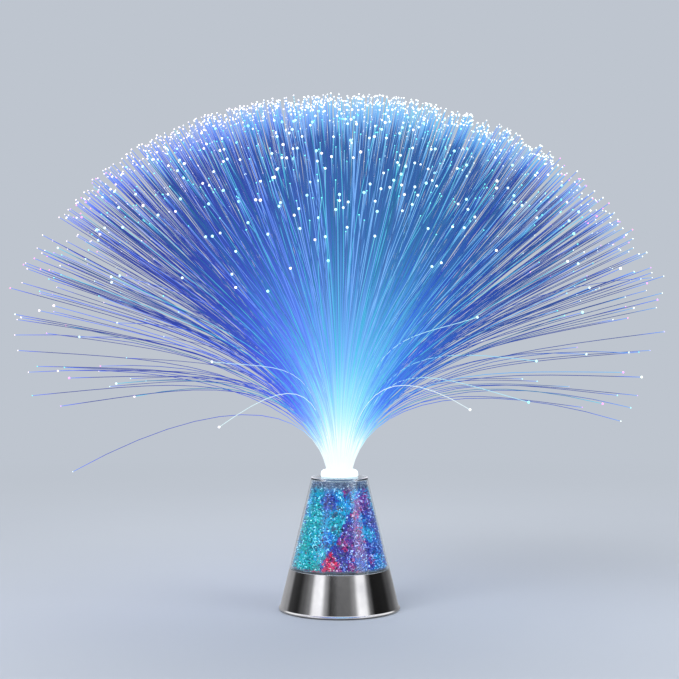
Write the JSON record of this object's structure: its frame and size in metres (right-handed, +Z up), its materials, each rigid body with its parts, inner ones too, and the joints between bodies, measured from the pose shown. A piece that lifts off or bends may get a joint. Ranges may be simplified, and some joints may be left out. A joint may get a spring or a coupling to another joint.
{
  "type": "fiber optic lamp",
  "caption": "Battery-powered lamp: a polished conical base with a clear chamber of lit crystals, and a lift-out spray of light fibres bending outwards from a glowing collar.",
  "frame": {"origin": "on the table plane, under the middle of the base", "axes": "+Z up along the lamp's axis; +Y to the back, so that the front looks towards -Y; +X to the right seen from the front"},
  "size_m": [0.4312, 0.3662, 0.3365],
  "materials": {
    "skirt_metal": "polished, with a spun lip",
    "frame_plastic": "moulded",
    "cover_plastic": "fine moulded texture",
    "foot_rubber": "matt",
    "cell_jacket": "plain jacket without a print",
    "contact_metal": "nickel plated",
    "board": "solder mask",
    "led": "cast lens",
    "chip": "moulded epoxy",
    "switch_case": "moulded",
    "switch_slider": "moulded",
    "screw_steel": "zinc plated",
    "clear_plastic": "clear moulded plastic",
    "crystal_magenta": "crushed clear crystal, lit from below",
    "crystal_teal": "crushed clear crystal, lit from below",
    "crystal_cyan": "crushed clear crystal, lit from below",
    "crystal_violet": "crushed clear crystal, lit from below",
    "crystal_frost": "crushed clear crystal",
    "glowing_collar": "translucent, lit from below",
    "fibre_core": "light fibre, bright",
    "fibre_middle": "light fibre",
    "fibre_outer": "light fibre, bright at its tip"
  },
  "bodies": {
    "base": {"metal_skirt": "skirt_metal", "inner_frame": "frame_plastic", "bottom_cover": "cover_plastic", "foot_1": "foot_rubber", "foot_2": "foot_rubber", "foot_3": "foot_rubber", "foot_4": "foot_rubber", "battery_1": "cell_jacket", "battery_2": "cell_jacket", "battery_3": "cell_jacket", "contact_positive": "contact_metal", "contact_link_rear": "contact_metal", "contact_link_front": "contact_metal", "contact_negative": "contact_metal", "led_board": "board", "fibre_led": "led", "crystal_led_1": "led", "crystal_led_2": "led", "crystal_led_3": "led", "driver_chip": "chip", "resistors": "chip", "switch_body": "switch_case", "switch_terminals": "contact_metal", "cover_screws": "screw_steel", "crystal_chamber": "clear_plastic", "chamber_base": "clear_plastic", "crystals_layer_1": "crystal_magenta", "crystals_layer_2": "crystal_teal", "crystals_layer_3": "crystal_cyan", "crystals_layer_4": "crystal_violet", "crystals_layer_5": "crystal_frost"},
    "spray": {"spray_ferrule": "glowing_collar", "bundle_root": "glowing_collar", "fibres_ring_0": "fibre_core", "fibres_ring_1": "fibre_core", "fibres_ring_2": "fibre_core", "fibres_ring_3": "fibre_middle", "fibres_ring_4": "fibre_middle", "fibres_ring_5": "fibre_middle", "fibres_ring_6": "fibre_outer", "fibres_ring_7": "fibre_outer"},
    "door": {"battery_door": "cover_plastic"},
    "switch": {"switch_knob": "switch_slider"}
  },
  "joints": [
    {"name": "spray_lift", "type": "slide", "parent": "base", "child": "spray", "axis": [0, 0, 1], "range_m": [0, 0.065]},
    {"name": "battery_door_hinge", "type": "hinge", "parent": "base", "child": "door", "pos_m": [0, -0.02395, 0.0012], "axis": [-1, 0, 0], "range_deg": [0, 80]},
    {"name": "switch_slide", "type": "slide", "parent": "base", "child": "switch", "axis": [0, 1, 0], "range_m": [0, 0.003]}
  ]
}
